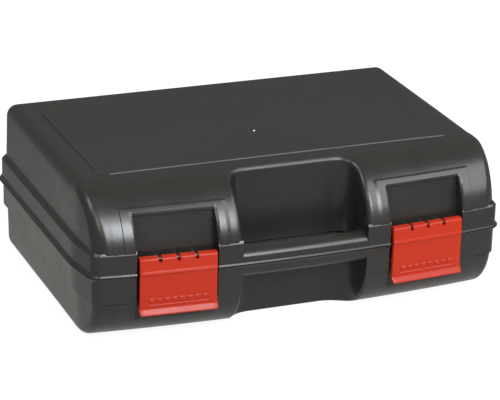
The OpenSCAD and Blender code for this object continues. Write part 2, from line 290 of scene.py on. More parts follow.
def sheet(s, x, v):
    # skin of one half over x and v, as x, y and height from the parting plane: the profile, its
    # front set back by the front's features and its crown raised by the panel
    arc = lengths(s)["arc"]
    y, h, psi = profile(s, x, v)
    lip = bowLine(x)
    y = np.where(v < arc, lip + frontFeature(s, x, h, y - lip), y)
    crown = (v > arc - skinGrid["panelStart"]) & (psi < np.pi / 2 + skinGrid["panelTurn"])
    return np.stack([x, y, h + np.where(crown, panelRise(x, y, s), 0)], -1)


def sideBlock(s, rows, x0, sign):
    # strip, edge fillet and side wall for each row, from the sheet's border at x0 down to the
    # ledge. The fillet turns a quarter circle from the profile's normal to the side, and the wall
    # leans in by its draft and spreads its feet evenly from front to back.
    run, low = lengths(s), s["ledge"]
    arc, crown, end = run["arc"], run["crown"], run["arc"] + run["crown"] + run["fillet"] + run["wall"]
    lowArc, highArc, onCrown = skinGrid["radiusAt"]
    stops = [0, arc * lowArc, arc * highArc, arc, arc + crown * onCrown, arc + crown, end]
    radius = np.interp(rows, stops, s["sideRadius"])[:, None]
    y0, h0, psi = [a[:, None] for a in profile(s, np.full_like(rows, x0), rows)]

    def wallX(h):
        return case["halfWidth"] - s["sideIn"] - s["draft"] * (h - low)

    edgeX = wallX(np.maximum(h0 - radius * np.sin(psi), low - skinGrid["slack"])) - radius
    stripX = x0 + (edgeX - x0) * np.linspace(0, 1, skinGrid["stripCols"])[None, 1:]
    stripY, stripH = profile(s, stripX, np.repeat(rows[:, None], stripX.shape[1], 1))[:2]
    edgeY, edgeH, edgePsi = profile(s, edgeX, rows[:, None])
    phi = np.radians(np.linspace(0, 90, skinGrid["filletCols"]))[None, 1:]
    centreY, centreH = edgeY + radius * np.cos(edgePsi), edgeH - radius * np.sin(edgePsi)
    filletX = edgeX + radius * np.sin(phi)
    filletY = centreY - radius * np.cos(phi) * np.cos(edgePsi)
    filletH = np.maximum(centreH + radius * np.cos(phi) * np.sin(edgePsi), low)
    down = np.linspace(0, 1, skinGrid["wallCols"])[None, 1:]
    share = ((rows - rows[0]) / (rows[-1] - rows[0]))[:, None]
    footY = centreY[0, 0] + (centreY[-1, 0] - centreY[0, 0]) * share
    wallTop = np.maximum(centreH, low)
    wallY, wallH = centreY + (footY - centreY) * down, wallTop + (low - wallTop) * down
    x = np.concatenate([np.full_like(y0, x0), stripX, filletX, wallX(wallH)], 1)
    y = np.concatenate([y0, stripY, filletY, wallY], 1)
    h = np.concatenate([h0, stripH, filletH, wallH], 1)
    return np.stack([sign * (x - taper(x, y, case["wallTaper"])), y, h], -1)


def notchCurve(s):
    # a ball rolls along the notch's edge inside the skin: up the left side, round the corner,
    # across the back, and mirrored down the right. For each step: x and y of its centre, the angle
    # and the run along the section where it touches the skin, and the direction to the notch's wall.
    ball, radius, n = s["notchRoll"], s["frontRadius"], skinGrid["notchSteps"]
    half, corner = case["notchHalf"], s["notchCorner"]
    edgeX, rearY = half + ball, case["frontY"] + case["notchDepth"]
    start = lengths(s)["start"]

    def centreAt(x):
        return bowLine(x) + s["frontIn"] + radius

    legEnd = np.arccos((centreAt(edgeX) - rearY + corner) / (radius - ball))
    legY = centreAt(edgeX) - (radius - ball) * np.cos(np.linspace(start, legEnd, 2 * n))
    turn = np.linspace(0, np.pi / 2, n)[1:]
    cornerX, cornerY = (corner + ball) * np.cos(turn), (corner + ball) * np.sin(turn)
    flat = np.linspace(-(half - corner), 0, 2 * n)[1:]
    x = np.concatenate([np.full(2 * n, -edgeX), -(half - corner) - cornerX, flat])
    y = np.concatenate([legY, rearY - corner + cornerY, np.full(2 * n - 1, rearY + ball)])
    toWall = np.concatenate([np.tile([1.0, 0.0], (2 * n, 1)),
                             np.stack([np.cos(turn), -np.sin(turn)], -1),
                             np.tile([0.0, -1.0], (2 * n - 1, 1))])
    x, y = np.concatenate([x, -x[-2::-1]]), np.concatenate([y, y[-2::-1]])
    toWall = np.concatenate([toWall, toWall[-2::-1] * [-1, 1]])
    theta = np.arccos(np.clip((centreAt(x) - y) / (radius - ball), -1, 1))
    return x, y, theta, radius * (theta - start), toWall


def resample(values, at):
    # values along a curve at even fractions of its length in the first two columns
    run = np.concatenate([[0], np.cumsum(np.hypot(*np.diff(values[:, :2], axis=0).T))])
    return np.stack([np.interp(at * run[-1], run, column) for column in values.T], -1)


def thinned(lines, kept):
    # sorted grid lines without those close to a neighbour, unless they are among the kept ones
    decimals = skinGrid["decimals"]
    lines = np.unique(np.round(np.concatenate(lines), decimals))
    keep = np.isin(lines, np.round(np.concatenate(kept), decimals))
    gap = np.diff(lines)
    near = np.minimum(np.append(np.inf, gap), np.append(gap, np.inf)) < skinGrid["closest"]
    return lines[keep | ~near]


def skinLines(s):
    # rows along the section and columns across it, close together wherever the skin has an edge
    g, run, radius = skinGrid, lengths(s), s["frontRadius"]
    arc, crown = run["arc"], run["crown"]
    total = arc + crown + run["fillet"] + run["wall"]
    patchV = arc + s["patchEnd"]

    def atHeight(edge, offsets):
        h = edge + np.array(offsets)
        return radius * (np.arcsin((h - (s["height"] - radius)) / radius) - run["start"])

    if s["up"] > 0:
        p, panel = pocketShape, np.array(g["panel"])
        bevel = [p["bevel"] / 2, p["bevel"]]
        panelFront = arc + panelShape["frontY"] - case["frontY"] - s["frontIn"] - radius
        panelRear = arc + crown + s["rearIn"] + s["rearRadius"] - panelShape["rear"]
        gateV = panelFront + gateShape["y"] - panelShape["frontY"]
        marks = [atHeight(p["top"], g["pocketTop"] + bevel), atHeight(p["frameTop"], g["frame"]),
                 panelFront - panel, panelRear + panel]
        offsets = np.concatenate([p["foot"] + np.array(g["pocketFoot"]),
                                  p["half"] + np.array([0] + bevel),
                                  p["frameHalf"] + np.array(g["frame"])])
        fineRows = spaced((panelFront, panelFront + g["cornerRun"], g["cornerStep"]),
                          (gateV - g["gateRun"], gateV + g["gateRun"], g["gateStep"]),
                          (panelRear - g["cornerRun"], panelRear, g["cornerStep"]))
        sides = np.concatenate([panelShape["half"] + panel, -panelShape["half"] - panel])
        corners = spaced((*g["cornerCols"], g["cornerStep"]))
        gateCols = spaced((gateShape["x"] - g["gateRun"], gateShape["x"] + g["gateRun"], g["gateStep"]))
        fineCols = [gateCols, corners, -corners]
    else:
        marks, sides, fineRows, fineCols = [atHeight(recessShape["top"], [0])], [], [arc], [[0.0]]
        offsets = recessShape["half"] + np.array(g["recess"])
    cuts = [side * (case["latchX"] + k * offsets) for side in (-1, 1) for k in (-1, 1)]
    borders, patch = [-g["borderX"], g["borderX"]], [-g["patchX"], g["patchX"]]
    rows = thinned([spaced((0, arc, g["arcStep"])), spaced((arc, arc + crown, g["crownStep"])),
                    spaced((arc + crown, arc + crown + run["fillet"], g["filletStep"])),
                    spaced((total - run["wall"], total, g["wallStep"])), fineRows, [patchV]] + marks,
                   marks + [[0, arc, patchV, arc + crown, total - run["wall"], total]])
    cols = thinned([spaced((*borders, g["colStep"])), sides, patch] + fineCols + cuts,
                   [sides, borders, patch] + cuts)
    return rows, cols


def openSheet(s, rows, cols):
    # the sheet with a rectangle left open round the notch
    patchX, slack = skinGrid["patchX"], skinGrid["slack"]
    patchV = lengths(s)["arc"] + s["patchEnd"]
    v, x = np.meshgrid(rows, cols, indexing="ij")
    points = sheet(s, x, straightened(s, x, v))
    r, c = np.meshgrid(np.arange(len(rows) - 1), np.arange(len(cols) - 1), indexing="ij")
    within = (cols[c] >= -patchX - slack) & (cols[c + 1] <= patchX + slack)
    hole = ((rows[r + 1] <= patchV + slack) & within).ravel()
    return points.reshape(-1, 3), gridFaces(*points.shape[:2])[~hole].tolist()


def notchPatch(s, rows, cols):
    # patch from the notch's rim to the rectangle left open in the sheet, blended evenly between
    # the two, with the rolled edge and the notch's wall below the rim
    patchX, slack, ball = skinGrid["patchX"], skinGrid["slack"], s["notchRoll"]
    patchV = lengths(s)["arc"] + s["patchEnd"]
    inRows = rows[rows <= patchV + slack]
    inCols = cols[(cols >= -patchX - slack) & (cols <= patchX + slack)]
    outer = np.concatenate([np.stack([np.full(len(inRows), -patchX), inRows], -1),
                            np.stack([inCols[1:-1], np.full(len(inCols) - 2, patchV)], -1),
                            np.stack([np.full(len(inRows), patchX), inRows[::-1]], -1)])
    outer[:, 1] = straightened(s, outer[:, 0], outer[:, 1])
    x, y, theta, v, toWall = notchCurve(s)
    curve = np.stack([x, v, theta, *toWall.T], -1)
    split = np.argmax(y > case["frontY"] + case["notchDepth"] - skinGrid["notchLeg"])
    left = resample(curve[:split + 1], np.linspace(0, 1, len(inRows)))
    middle = resample(curve[split:len(curve) - split], (inCols + patchX) / (2 * patchX))[1:-1]
    right = left[::-1] * [-1, 1, 1, -1, 1]
    rim = np.concatenate([left, middle, right])
    w = np.linspace(0, 1, skinGrid["patchRows"])[:, None]
    patch = sheet(s, rim[:, 0] * (1 - w) + outer[:, 0] * w, rim[:, 1] * (1 - w) + outer[:, 1] * w)
    # rolled edge: the ball's surface in even turns from the skin's normal to the wall's, each the
    # sum of the two weighted by the sines of the angles left and done
    outward = np.stack([0 * rim[:, 2], -np.cos(rim[:, 2]), np.sin(rim[:, 2])], -1)
    inward = np.stack([rim[:, 3], rim[:, 4], 0 * rim[:, 3]], -1)
    inward /= np.linalg.norm(inward, axis=1, keepdims=True)
    between = np.arccos(np.clip((outward * inward).sum(1), -1, 1))[:, None]
    centre = patch[0] - ball * outward
    roll = [centre + ball * (np.sin((1 - k) * between) * outward + np.sin(k * between) * inward)
            / np.sin(between) for k in np.linspace(0, 1, skinGrid["rollRows"])]
    x, y, h = roll[-1].T
    wall = [np.stack([x, y, h * (1 - k) + skinGrid["foot"] * k], -1) for k in skinGrid["footShares"]]
    return gridPart(np.concatenate([np.stack(roll + wall)[::-1][:-1], patch]))


def latchSkirts(s, cols):
    # the front behind each latch, carried straight down behind the rim band to the parting plane
    place = pocketShape if s["up"] > 0 else recessShape
    footInset = profile(s, np.array(0.0), np.array(0.0))[0] - case["frontY"]
    heights = np.linspace(s["ledge"], skinGrid["foot"], skinGrid["skirtRows"])
    parts = []
    for side in (-1, 1):
        reach = place["half"] + place["bevel"] + skinGrid["skirtMargin"]
        h, x = np.meshgrid(heights, cols[np.abs(cols - side * case["latchX"]) < reach], indexing="ij")
        inset = frontFeature(s, x, np.full_like(h, s["ledge"]), np.full_like(h, footInset))
        parts.append(gridPart(np.stack([x, bowLine(x) + inset, h], -1)))
    return parts


def shellSkin(s):
    # outer skin of a half: sheet, side blocks, notch and latch skirts
    rows, cols = skinLines(s)
    x0 = skinGrid["borderX"]
    border = straightened(s, np.full_like(rows, x0), rows)
    sides = [gridPart(sideBlock(s, border, x0, sign)) for sign in (-1, 1)]
    return [openSheet(s, rows, cols)] + sides + [notchPatch(s, rows, cols)] + latchSkirts(s, cols)


runSteps = {"front": 6.0, "cornerPoints": 16, "fineEnd": -70.0, "fine": 2.5, "side": 10.0,
            "rearPoints": 22, "backPoints": 20}
lipShape = {"height": 1.1, "round": 0.4, "roundIn": 0.06, "bend": (0.9, 0.86), "tip": 0.75,
            "tipIn": 0.06, "tipFoot": 0.55, "edge": 0.3, "foot": 0.2}
rimShape = {"edge": 1.2, "edgeTurn": (125, 180, 5), "edgeGap": 0.4, "thick": 2.8, "into": 1.6,
            "corner": 0.15, "clipRise": 0.6, "clipFrom": 1.8, "clipOver": 0.7}
handleShape = {"reach": 56.5, "depth": 18.8, "front": (11.0, 6.9), "rear": (7.8, 8.6), "flare": 11.0,
               "edgePoints": 11, "step": 1.5}


def frontRun(xa, xb, step=runSteps["front"]):
    # points of the front lip with their outward normals, which point away from the bow's centre
    x = np.linspace(xa, xb, max(2, int(abs(xb - xa) / step)))
    lean = x / case["bowRadius"]
    return np.stack([x, bowLine(x), lean, -np.sqrt(1 - lean ** 2)], -1)


def roundRun(xEnd):
    # lip seen from above with its outward normals, from xEnd on the right of the front, round the
    # back to the left: the bow, a corner arc tangent to it, the tapered side, a corner and the rear
    r, half, bow = case["cornerRadius"], case["halfWidth"], case["bowRadius"]
    cx = half - r
    cy = case["frontY"] + bow - np.sqrt((bow - r) ** 2 - cx ** 2)
    tangent = np.degrees(np.arctan2(cx, case["frontY"] + bow - cy))
    contact = cx + r * np.sin(np.radians(tangent))
    a = np.radians(np.linspace(-90 + tangent, 0, runSteps["cornerPoints"]))
    frontCorner = np.stack([cx + r * np.cos(a), cy + r * np.sin(a)], -1)
    back, backY, fineEnd = case["rearCorner"], case["backY"], runSteps["fineEnd"]
    y = spaced((cy, fineEnd, runSteps["fine"]), (fineEnd, backY - back, runSteps["side"]))[1:-1]
    side = np.stack([0 * y + half, y], -1)
    b = np.radians(np.linspace(0, 90, runSteps["rearPoints"]))
    rearCorner = np.stack([half - back + back * np.cos(b), backY - back + back * np.sin(b)], -1)
    x = np.linspace(half - back, 0, runSteps["backPoints"])[1:]
    rear = np.stack([x, 0 * x + backY], -1)
    line = np.concatenate([frontRun(xEnd, contact)[:-1, :2], frontCorner, side, rearCorner, rear])
    line[:, 0] -= taper(line[:, 0], line[:, 1], case["lipTaper"])
    along = np.gradient(line, axis=0)
    along /= np.linalg.norm(along, axis=1, keepdims=True)
    rightHalf = np.concatenate([line, np.stack([along[:, 1], -along[:, 0]], -1)], 1)
    rightHalf[-1, 2:] = [0, 1]
    return np.concatenate([rightHalf, rightHalf[::-1][1:] * [-1, 1, -1, 1]])


def carried(s, run, section):
    # section(b, w, s) gives (inset, height) columns for each point of the run, inset along its
    # inward normal; b and w are the insets of the band and of the wall, mixed by the squares of
    # the normal's parts
    nx, ny = run[:, 2], run[:, 3]

    def around(values):
        frontOrRear = np.where(ny < 0, values["front"], values["rear"])
        return (nx ** 2 * values["side"] + ny ** 2 * frontOrRear)[:, None]

    inset, height = section(around(s["band"]), around(s["bandWall"]), s)
    return np.stack([run[:, :1] - run[:, 2:3] * inset, run[:, 1:2] - run[:, 3:4] * inset, height], -1)


def columns(like, pairs):
    # (inset, height) pairs of a section, numbers or arrays shaped as like, as two arrays with a
    # column for each pair
    return [np.concatenate([np.broadcast_to(pair[k], like.shape) for pair in pairs], 1) for k in (0, 1)]


def lipCurve(b, flare):
    # slope from the band down to the lip's tip, with a small round at its top, which rises by
    # flare times the band's inset
    p = lipShape
    top, (bendIn, bendUp) = p["height"] + flare * b, p["bend"]
    return [(b, top + p["round"]), (b - p["roundIn"], top),
            (bendIn * b, p["tip"] + bendUp * (top - p["tip"])),
            (p["tipIn"] * b, p["tip"]), (0, p["tipFoot"])]


def rimSection(b, w, s):
    # slope down from the wall, rounded edge, band face, lip, parting face and inner face; the
    # slope rises by ledgeSlope times its width, and by a little more where it is narrow
    p, ledge = rimShape, s["ledge"]
    narrow = np.clip((p["clipFrom"] - (w - b)) / p["clipOver"], 0, 1)
    top = ledge + (s["ledgeSlope"] * (w - b - p["edgeGap"]) + p["clipRise"] * narrow)
    r, turns = p["edge"], np.radians(np.linspace(*p["edgeTurn"]))
    edge = [(b + r + r * np.cos(k), ledge - r + r * np.sin(k)) for k in turns]
    foot, inner = lipShape["foot"], ledge - p["thick"]
    parting = [(0, lipShape["edge"]), (foot, foot), (b + p["thick"], foot)]
    inside = [(b + p["thick"], inner), (w + p["into"], inner)]
    slope = [(w + p["into"], top), (w + p["corner"], top)]
    return columns(b, slope + edge + lipCurve(b, s["flare"]) + parting + inside)


def handleSection(depth):
    # section of one half of the handle: the lip, a quarter ellipse at the front, a flat top and a
    # quarter ellipse at the rear
    def section(b, w, s):
        (frontIn, frontUp), (rearIn, rearUp) = handleShape["front"], handleShape["rear"]
        top, turns = s["handleTop"], np.radians(np.linspace(0, 90, handleShape["edgePoints"]))
        front = [(b + frontIn - frontIn * np.cos(k), top - frontUp + frontUp * np.sin(k)) for k in turns]
        rear = [(depth - rearIn + rearIn * np.sin(k), top - rearUp + rearUp * np.cos(k)) for k in turns]
        foot = lipShape["foot"]
        lip = [(foot, foot), (0, lipShape["edge"])] + lipCurve(b, s["flare"])[::-1]
        return columns(b, lip + front + rear + [(depth, foot)])
    return section


def rimParts(s):
    # the rim band round the sides and back, its two pieces beside the notch, and the handle, which
    # gets deeper in a quarter circle where it meets the sides of the notch
    inner = case["notchHalf"]
    near, far = case["latchX"] - pocketShape["half"], case["latchX"] + pocketShape["half"]
    parts = [tubePart(carried(s, roundRun(far), rimSection))]
    for a, b in ((-near, -inner), (inner, near)):
        parts.append(tubePart(carried(s, frontRun(a, b, runSteps["front"] / 2), rimSection)))
    reach, flare = handleShape["reach"], handleShape["flare"]
    run = frontRun(-reach, reach, handleShape["step"])
    over = np.clip(np.abs(run[:, :1]) - (inner - flare), 0, flare)
    depth = handleShape["depth"] + flare - np.sqrt(flare ** 2 - over ** 2)
    return parts + [tubePart(carried(s, run, handleSection(depth)))]


def upright(s, parts):
    # heights above or below the parting plane become z
    return [(np.column_stack([v[:, :2], case["partingZ"] + s["up"] * v[:, 2]]), f) for v, f in parts]


def atLatch(sign, points):
    # from a latch's own frame, its pivot at the origin and -Y outward, to the case
    turn = sign * case["latchTilt"]
    x, y = points[..., 0], points[..., 1] + case["pivotIn"]
    wx = sign * case["latchX"] + x * np.cos(turn) - y * np.sin(turn)
    wy = case["frontY"] + case["latchBack"] + x * np.sin(turn) + y * np.cos(turn)
    return np.stack([wx, wy, points[..., 2] + case["partingZ"] + case["pivotUp"]], -1)


def barAlongX(section, xs):
    # (y, z) section repeated at each x
    yz = np.broadcast_to(section, (len(xs), *section.shape))
    x = np.repeat(np.asarray(xs, float)[:, None], len(section), 1)
    return np.concatenate([x[..., None], yz], -1)


lugShape = {"radius": 1.6, "turn": (60, 280, 14), "half": 1.05, "pitch": 15.0,
            "arm": [[3.2, -1.9], [13.2, -3.6], [13.2, -1.6]]}
knuckleShape = {"radius": 4.18, "turn": (-150, 110), "points": 22,
                "arm": [[-3.4, 3.6], [-7.0, 3.6], [-7.0, 0.2], [-4.1, 0.2]],
                "lid": [(-21.4, -11.4), (11.4, 21.4)], "base": [(-11.0, 11.0)]}
tongueShape = {"start": 31.0, "section": [(6.2, 0.0), (6.2, -3.6), (6.6, -4.0), (8.0, -4.0), (8.4, -3.6),
                                          (8.4, 5.6), (5.0, 5.6), (5.0, 0.4)]}
railShape = {"half": 26, "down": 12.0, "section": [[1.4, -12.9], [1.8, -13.3], [6.0, -13.3], [6.0, -9.3],
                                                   [2.2, -9.3], [1.4, -10.1]]}


def lugParts():
    # lugs round each latch pin: an arc about the pin and an arm that slopes into the lid
    section = polyline(arcPoints(lugShape["radius"], *lugShape["turn"]), lugShape["arm"])
    half = lugShape["half"]
    centres = [k * lugShape["pitch"] for k in (-1, 0, 1)]
    return [tubePart(atLatch(side, barAlongX(section, [x - half, x + half])))
            for side in (-1, 1) for x in centres]


def knuckleParts(up, spans):
    # hinge knuckle: an arc round the pin, with an arm to the wall
    start, end = knuckleShape["turn"]
    barrel = arcPoints(knuckleShape["radius"], up * start, up * end, knuckleShape["points"])
    section = polyline(barrel, np.array(knuckleShape["arm"]) * [1, up])
    section = section + [case["backY"] + case["hingeOut"], case["partingZ"]]
    return [tubePart(barAlongX(section, [side * case["hingeX"] + a, side * case["hingeX"] + b]))
            for side in (-1, 1) for a, b in spans]


def tongueParts():
    # dust tongue inside the rim of the base, round the sides and the rear
    run = roundRun(case["latchX"] + pocketShape["half"])
    run = run[run[:, 1] > case["frontY"] + tongueShape["start"]]
    return [tubePart(carried(baseShape, run, lambda b, w, s: columns(b, tongueShape["section"])))]


def railParts():
    # rail that each latch's hook goes under
    section, half = np.array(railShape["section"]) - [0, railShape["down"]], railShape["half"]
    return [tubePart(atLatch(side, barAlongX(section, [-half, half]))) for side in (-1, 1)]


def gateNub():
    # small stub that the moulding gate leaves in its dish, pale partly from whitening and partly as a
    # painted glint: rings about the gate's centre
    r, down = (np.array(gateShape[k])[:, None] for k in ("nubRadius", "nubHeight"))
    a = np.linspace(0, 2 * np.pi, gateShape["nubSides"], endpoint=False)[None, :]
    z = case["partingZ"] + lidShape["height"] + lidShape["panel"] + down
    points = np.stack([gateShape["x"] + r * np.cos(a), gateShape["y"] + r * np.sin(a), z + 0 * a], -1)
    mesh = meshFrom("nub", [tubePart(points)])
    # the stub's faces take the lid's second material, the pale one that is partly a painted glint
    mesh.polygons.foreach_set("material_index", np.ones(len(mesh.polygons), dtype=np.int32))
    return mesh


def shellHalf(name, s, extras, material):
    outer = meshFrom(name + "Skin", upright(s, shellSkin(s)), shellShape["weld"])
    skin = addObject(name + "Skin", outer)
    faces = skin.data.polygons
    normals, places = np.zeros(len(faces) * 3), np.zeros(len(faces) * 3)
    faces.foreach_get("normal", normals)
    faces.foreach_get("center", places)
    fromMiddle = places.reshape(-1, 3) - [0, 0, case["partingZ"] * mm]
    if (fromMiddle * normals.reshape(-1, 3)).sum() < 0:
        skin.data.flip_normals()
    thick = skin.modifiers.new("wall", "SOLIDIFY")
    thick.thickness, thick.offset, thick.use_even_offset = s["wall"] * mm, -1, False
    rest = meshFrom(name + "Rim", upright(s, rimParts(s)) + extras)
    mesh = joined(name, [applied(skin), rest] + ([gateNub()] if s["panel"] else []))
    finishShading(mesh, shellShape["sharpAngle"])
    print(name, len(mesh.vertices), "points")
    return addObject(name, mesh, material)


def feed(tree, socket, value):
    # link an output to the socket, or set a constant on it
    if hasattr(value, "is_linked"):
        tree.links.new(value, socket)
    else:
        socket.default_value = value


def mathNode(tree, operation, a, b, clamp=False):
    node = tree.nodes.new("ShaderNodeMath")
    node.operation, node.use_clamp = operation, clamp
    feed(tree, node.inputs[0], a)
    feed(tree, node.inputs[1], b)
    return node.outputs[0]


def noise(tree, vector, scale, detail, rough=0.5):
    node = tree.nodes.new("ShaderNodeTexNoise")
    for label, value in (("Vector", vector), ("Scale", scale), ("Detail", detail), ("Roughness", rough)):
        feed(tree, node.inputs[label], value)
    return node.outputs["Fac"]


def mapped(tree, value, source, target):
    # value moved from the range source to the range target
    node = tree.nodes.new("ShaderNodeMapRange")
    limits = zip(("From Min", "From Max", "To Min", "To Max"), (*source, *target))
    for label, number in (("Value", value), *limits):
        feed(tree, node.inputs[label], number)
    return node.outputs["Result"]


# Roughness is added to the crown above the heights crownZ, because the lid's flat top is textured
# more coarsely than its rounded edges.
finish = {"streaks": 1.1, "patch": (0.3, 0.7), "crownZ": (0.1235, 0.129), "bump": 0.10,
          "relief": 0.0001, "ior": 1.49, "grainDetail": 3.0,
          "streakNoise": (9.0, 2.0, 0.4), "patchNoise": (38.0, 4.0, 0.6)}
plastics = {
    "blackShell": {"dark": (0.0114, 0.0103, 0.0091), "light": (0.0168, 0.0152, 0.0135),
                   "rough": (0.23, 0.31), "grain": 2600, "specular": 0.5, "crownRough": 0.22},
    "redLatch": {"dark": (0.242, 0.0116, 0.0027), "light": (0.286, 0.0162, 0.0041),
                 "rough": (0.25, 0.33), "grain": 2200, "specular": 0.2, "crownRough": 0.0},
    # pale colour of the gate stub: partly whitened plastic, partly a painted glint
    "gateWhiteningAndGlint": {"dark": (0.75, 0.74, 0.70), "light": (0.85, 0.84, 0.80),
                 "rough": (0.3, 0.5), "grain": 2600, "specular": 0.5, "crownRough": 0.0},
}
steelLook = {"colour": (0.62, 0.63, 0.65, 1), "rough": (0.2, 0.42), "stretch": (40, 1500, 1500),
             "noise": (1.0, 3.0)}


def mouldedGroup():
    # moulded surface: fine grain height, slow flow streaks for the colour and patches for the roughness
    group = bpy.data.node_groups.new("mouldedSurface", "ShaderNodeTree")
    sockets = group.interface
    sockets.new_socket("Vector", in_out="INPUT", socket_type="NodeSocketVector")
    for label in ("Grain Scale", "Streaks"):
        sockets.new_socket(label, in_out="INPUT", socket_type="NodeSocketFloat")
    for label in ("Height", "Tone", "Patch"):
        sockets.new_socket(label, in_out="OUTPUT", socket_type="NodeSocketFloat")
    given, result = group.nodes.new("NodeGroupInput"), group.nodes.new("NodeGroupOutput")
    vector = given.outputs["Vector"]
    slow = noise(group, vector, *finish["streakNoise"])
    centred = mathNode(group, "SUBTRACT", slow, 0.5)
    streak = mathNode(group, "MULTIPLY", centred, given.outputs["Streaks"])
    grain = noise(group, vector, given.outputs["Grain Scale"], finish["grainDetail"])
    feed(group, result.inputs["Height"], grain)
    feed(group, result.inputs["Tone"], mathNode(group, "ADD", streak, 0.5, True))
    feed(group, result.inputs["Patch"], noise(group, vector, *finish["patchNoise"]))
    return group


def newMaterial(name):
    mat = bpy.data.materials.new(name)
    mat.use_nodes = True
    return mat, mat.node_tree, mat.node_tree.nodes["Principled BSDF"]


def plastic(name, look):
    mat, tree, shader = newMaterial(name)
    place = tree.nodes.new("ShaderNodeTexCoord").outputs["Object"]
    surface = tree.nodes.new("ShaderNodeGroup")
    surface.node_tree = moulded
    feed(tree, surface.inputs["Grain Scale"], look["grain"])
    feed(tree, surface.inputs["Streaks"], finish["streaks"])
    feed(tree, surface.inputs["Vector"], place)
    tone = tree.nodes.new("ShaderNodeMix")
    tone.data_type = "RGBA"
    feed(tree, tone.inputs["A"], (*look["dark"], 1))
    feed(tree, tone.inputs["B"], (*look["light"], 1))
    feed(tree, tone.inputs["Factor"], surface.outputs["Tone"])
    feed(tree, shader.inputs["Base Color"], tone.outputs["Result"])
    rough = mapped(tree, surface.outputs["Patch"], finish["patch"], look["rough"])
    split = tree.nodes.new("ShaderNodeSeparateXYZ")
    feed(tree, split.inputs["Vector"], place)
    crown = mapped(tree, split.outputs["Z"], finish["crownZ"], (0.0, look["crownRough"]))
    feed(tree, shader.inputs["Roughness"], mathNode(tree, "ADD", rough, crown))
    relief = tree.nodes.new("ShaderNodeBump")
    feed(tree, relief.inputs["Strength"], finish["bump"])
    feed(tree, relief.inputs["Distance"], finish["relief"])
    feed(tree, relief.inputs["Height"], surface.outputs["Height"])
    feed(tree, shader.inputs["Normal"], relief.outputs["Normal"])
    feed(tree, shader.inputs["IOR"], finish["ior"])
    feed(tree, shader.inputs["Specular IOR Level"], look["specular"])
    return mat


def steel():
    # drawn steel, with fine lines along the pin
    mat, tree, shader = newMaterial("drawnSteel")
    stretch = tree.nodes.new("ShaderNodeMapping")
    feed(tree, stretch.inputs["Scale"], steelLook["stretch"])
    feed(tree, stretch.inputs["Vector"], tree.nodes.new("ShaderNodeTexCoord").outputs["Object"])
    lines = noise(tree, stretch.outputs["Vector"], *steelLook["noise"])
    feed(tree, shader.inputs["Roughness"], mapped(tree, lines, (0.0, 1.0), steelLook["rough"]))
    feed(tree, shader.inputs["Base Color"], steelLook["colour"])
    feed(tree, shader.inputs["Metallic"], 1.0)
    return mat


moulded = mouldedGroup()
shellPlastic, latchPlastic, nubGlintPlastic = [plastic(name, look) for name, look in plastics.items()]
pinSteel = steel()
print("materials done")

lid = shellHalf("lidShell", lidShape, lugParts() + knuckleParts(1, knuckleShape["lid"]), shellPlastic)
# second material of the lid: the gate stub's pale colour, partly a painted glint
lid.data.materials.append(nubGlintPlastic)
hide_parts("lid_shell")
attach(lid, "lid")
base = shellHalf("baseShell", baseShape, railParts() + upright(baseShape, tongueParts())
                 + knuckleParts(-1, knuckleShape["base"]), shellPlastic)
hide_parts("base_shell")
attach(base, "base")
print("shells done")

latchShape = {"columns": 15, "roll": (4.0, -60, 180, 22), "rollFlat": 0.65, "slotHalf": 1.4,
              "slotSection": [[-8, -2.1], [8, -2.1], [8, 8], [-8, 8]], "bevel": 0.4, "bevelAngle": 40,
              "sharpAngle": 32}
ribShape = {"count": 8, "pitch": 6.3, "z": -34.0, "half": (2.3, 2.1), "barZ": -38.0,
            "barHalf": (25, 0.95), "face": -4.15, "rise": 0.7, "slopes": (0.4, 0.85)}
# section of a latch as (y, z): the roll round the pin, then down the outer face to the finger lip
# and up the inner face with its hook
latchSection = polyline(
    arcPoints(*latchShape["roll"]) * [1, latchShape["rollFlat"]],
    [[-4.1, -3.0], [-4.6, -8.3], [-4.75, -8.7], [-5.55, -10.4], [-5.65, -10.9], [-5.35, -11.4],
     [-4.2, -11.9], [-4.15, -13.4], [-4.2, -25], [-4.3, -36], [-4.4, -40.4], [-4.7, -41.2],
     [-6.9, -44.0], [-7.3, -44.9], [-7.1, -45.4], [-6.5, -45.5], [-5.2, -44.5], [-2.9, -41.6],
     [-1.9, -39.6], [-1.5, -36], [-1.3, -28.5], [0.8, -28.3], [1.1, -27.9], [1.1, -25.7],
     [-1.1, -25.7], [-1.0, -14], [-0.4, -7], [1.0, -4.4]])


def latchWidth(z):
    # half width down the latch: even steps between a list of heights, straight at first, then
    # spread to the lip's crest and drawn in at its bottom corners
    return np.interp(z, [-45.5, -44.9, -42.5, -41.0, -37.0, 10], [30.6, 31.6, 32.4, 32.3, 31.7, 31.7])


def gripRib(cx, cz, half):
    # plain block with sloping sides: its foot's four corners, then its top's, drawn in by the slopes
    corners = np.array([[-1, -1], [1, -1], [1, 1], [-1, 1]], float)
    rings = [np.insert([cx, cz] + corners * (np.array(half) - np.array(ribShape["slopes"]) * k), 1,
                       ribShape["face"] - ribShape["rise"] * k, axis=1) for k in (0, 1)]
    faces = [[0, 1, 5, 4], [1, 2, 6, 5], [2, 3, 7, 6], [3, 0, 4, 7], [4, 5, 6, 7], [3, 2, 1, 0]]
    return np.concatenate(rings), faces


